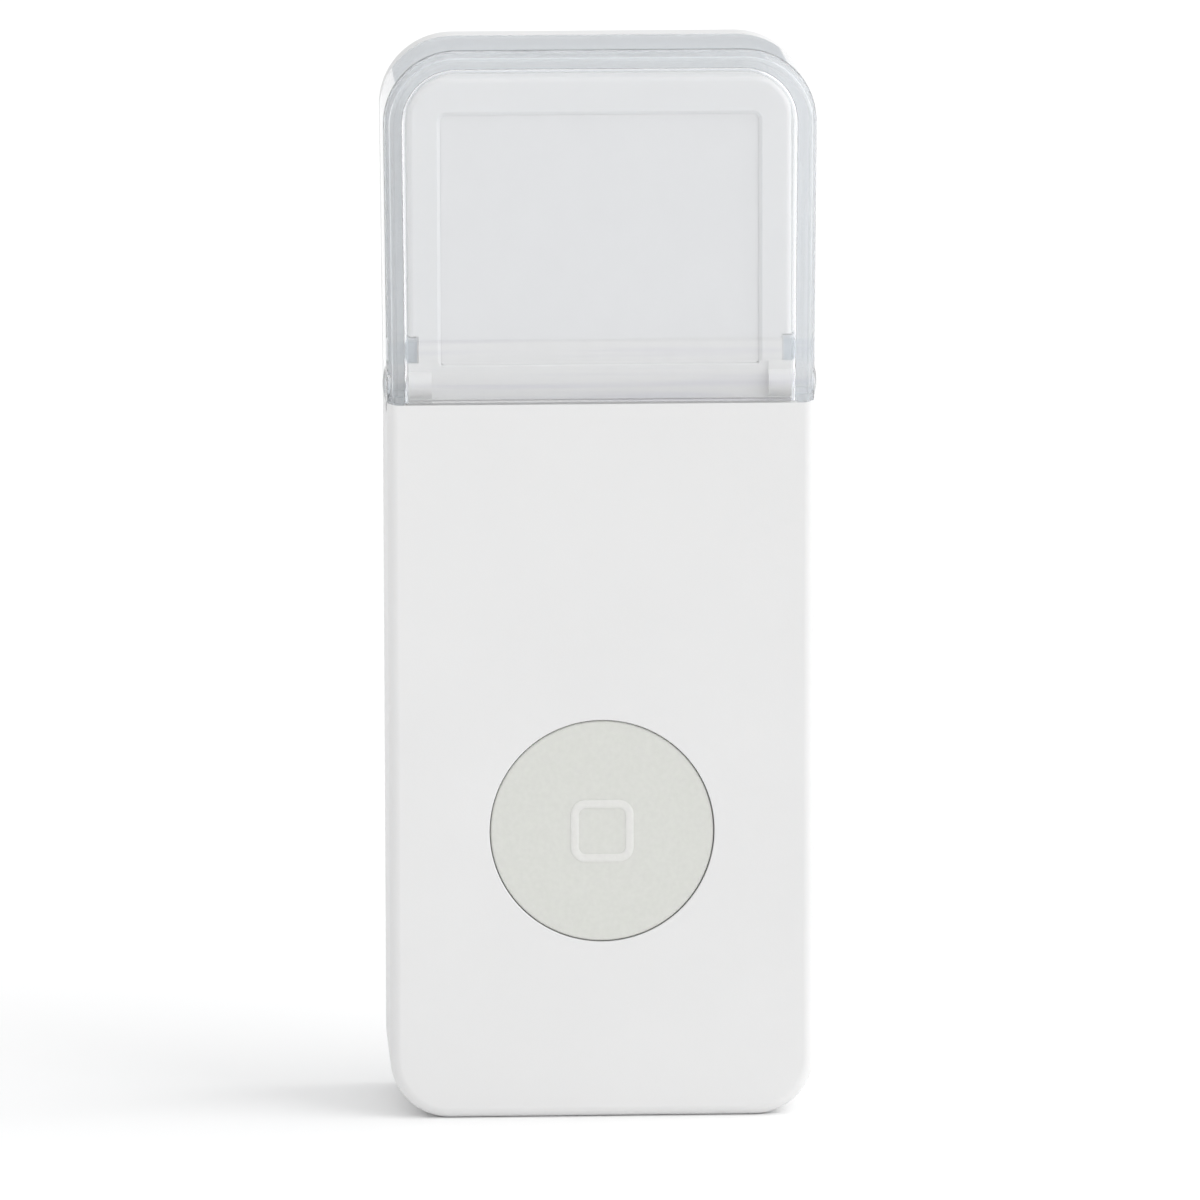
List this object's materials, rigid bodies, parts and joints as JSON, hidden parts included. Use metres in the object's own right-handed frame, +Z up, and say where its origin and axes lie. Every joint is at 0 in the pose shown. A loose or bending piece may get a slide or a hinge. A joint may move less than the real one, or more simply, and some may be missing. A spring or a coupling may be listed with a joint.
{
  "type": "wireless doorbell push button",
  "caption": "Upright white wireless doorbell push button with a round glow-in-the-dark button and a clear name cover that flips down over a card.",
  "frame": {"origin": "middle of the box's base, on the flat bottom edge that it stands on", "axes": "+Z up along the long side, the button and the name cover face -Y, +X to the right seen from the front"},
  "size_m": [0.0356, 0.016, 0.0885],
  "materials": {
    "white_housing": "white ABS, very fine satin spark texture",
    "clear_lid": "clear polished acrylic, faint blue edge",
    "glow_button": "photoluminescent plastic, pale greenish grey, satin",
    "name_card": "plain white card, matt",
    "steel": "nickel plated steel",
    "copper": "enamelled copper wire",
    "black_plastic": "moulded, matt",
    "black_rubber": "moulded, matt",
    "silicone": "milky silicone, matt",
    "board": "green solder mask over glass fibre board",
    "ceramic_chip": "fired ceramic, matt",
    "led_lens": "clear moulded lens",
    "pad_foam": "white foam with a smooth release liner"
  },
  "bodies": {
    "body": {"front_housing": "white_housing", "rear_cover": "white_housing", "name_card": "name_card", "case_gasket": "black_rubber", "button_seal_ring": "silicone", "switch_base": "black_plastic", "switch_cover": "steel", "circuit_board": "board", "rf_chip": "black_plastic", "quartz_crystal": "steel", "storage_capacitor": "steel", "status_led": "led_lens", "tuning_coil": "copper", "antenna_wire": "copper", "chip_capacitor_1": "ceramic_chip", "chip_capacitor_2": "ceramic_chip", "chip_capacitor_3": "ceramic_chip", "chip_capacitor_4": "ceramic_chip", "chip_resistor_1": "black_plastic", "chip_resistor_2": "black_plastic", "chip_resistor_3": "black_plastic", "chip_resistor_4": "black_plastic", "coin_cell": "steel", "battery_negative_contact": "steel", "battery_clip": "steel", "case_screw_1": "steel", "case_screw_2": "steel", "case_screw_3": "steel", "case_screw_4": "steel", "board_screw_1": "steel", "board_screw_2": "steel", "adhesive_pad_lower": "pad_foam", "adhesive_pad_upper": "pad_foam"},
    "lid": {"clear_lid": "clear_lid"},
    "button": {"button_cap": "glow_button"},
    "switch": {"switch_plunger": "black_plastic", "switch_dome": "steel"},
    "door": {"battery_door": "white_housing", "battery_door_seal": "black_rubber"}
  },
  "joints": [
    {"name": "lid_hinge", "type": "hinge", "parent": "body", "child": "lid", "pos_m": [0, -0.005, 0.0609], "axis": [1, 0, 0], "range_deg": [0, 50]},
    {"name": "button_press", "type": "slide", "parent": "body", "child": "button", "axis": [0, 1, 0], "range_m": [0, 0.0005], "stiffness_N_per_m": 4000, "springref_m": -0.0001},
    {"name": "switch_press", "type": "slide", "parent": "body", "child": "switch", "axis": [0, 1, 0], "range_m": [0, 0.0003]},
    {"name": "battery_door_turn", "type": "hinge", "parent": "body", "child": "door", "pos_m": [0, 0.006, 0.036], "axis": [0, 1, 0], "range_deg": [0, 45]}
  ],
  "couplings": [
    {"joint": "switch_press", "follows": "button_press", "ratio": 0.6}
  ]
}
